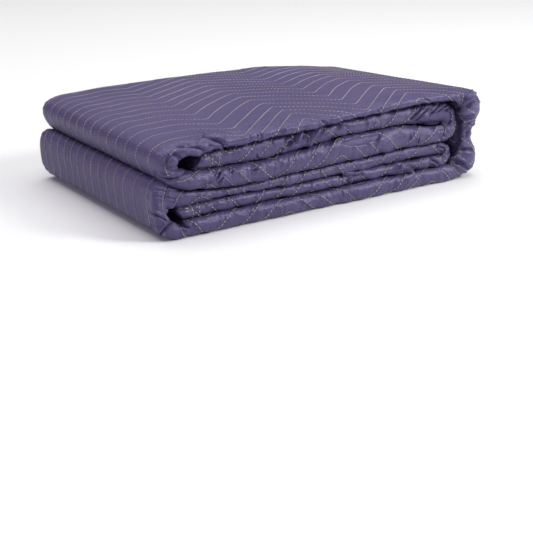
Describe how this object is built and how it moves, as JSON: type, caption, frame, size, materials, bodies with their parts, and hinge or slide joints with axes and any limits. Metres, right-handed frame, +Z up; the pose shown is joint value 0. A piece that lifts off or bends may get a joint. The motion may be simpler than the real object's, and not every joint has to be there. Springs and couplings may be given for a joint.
{
  "type": "folded moving blanket",
  "caption": "Zig-zag quilted moving blanket folded to a flat pack, with side folds, an end wrap and bound free ends",
  "frame": {"origin": "centre of the bounding box at the level of the surface that the pack lies on", "axes": "X along the folded layers towards the end wrap, Y from the front rolls to the back folds, Z up"},
  "size_m": [0.3626, 0.2314, 0.0896],
  "materials": {
    "quilted_cloth": "satin indigo purple non-woven shell over padding, quilted with pale grey thread",
    "binding_tape": "matt indigo woven tape sewn with two rows of pale thread"
  },
  "bodies": {
    "root": {"quilted_panel": "quilted_cloth", "end_binding_upper": "binding_tape", "end_binding_lower": "binding_tape"}
  },
  "joints": []
}
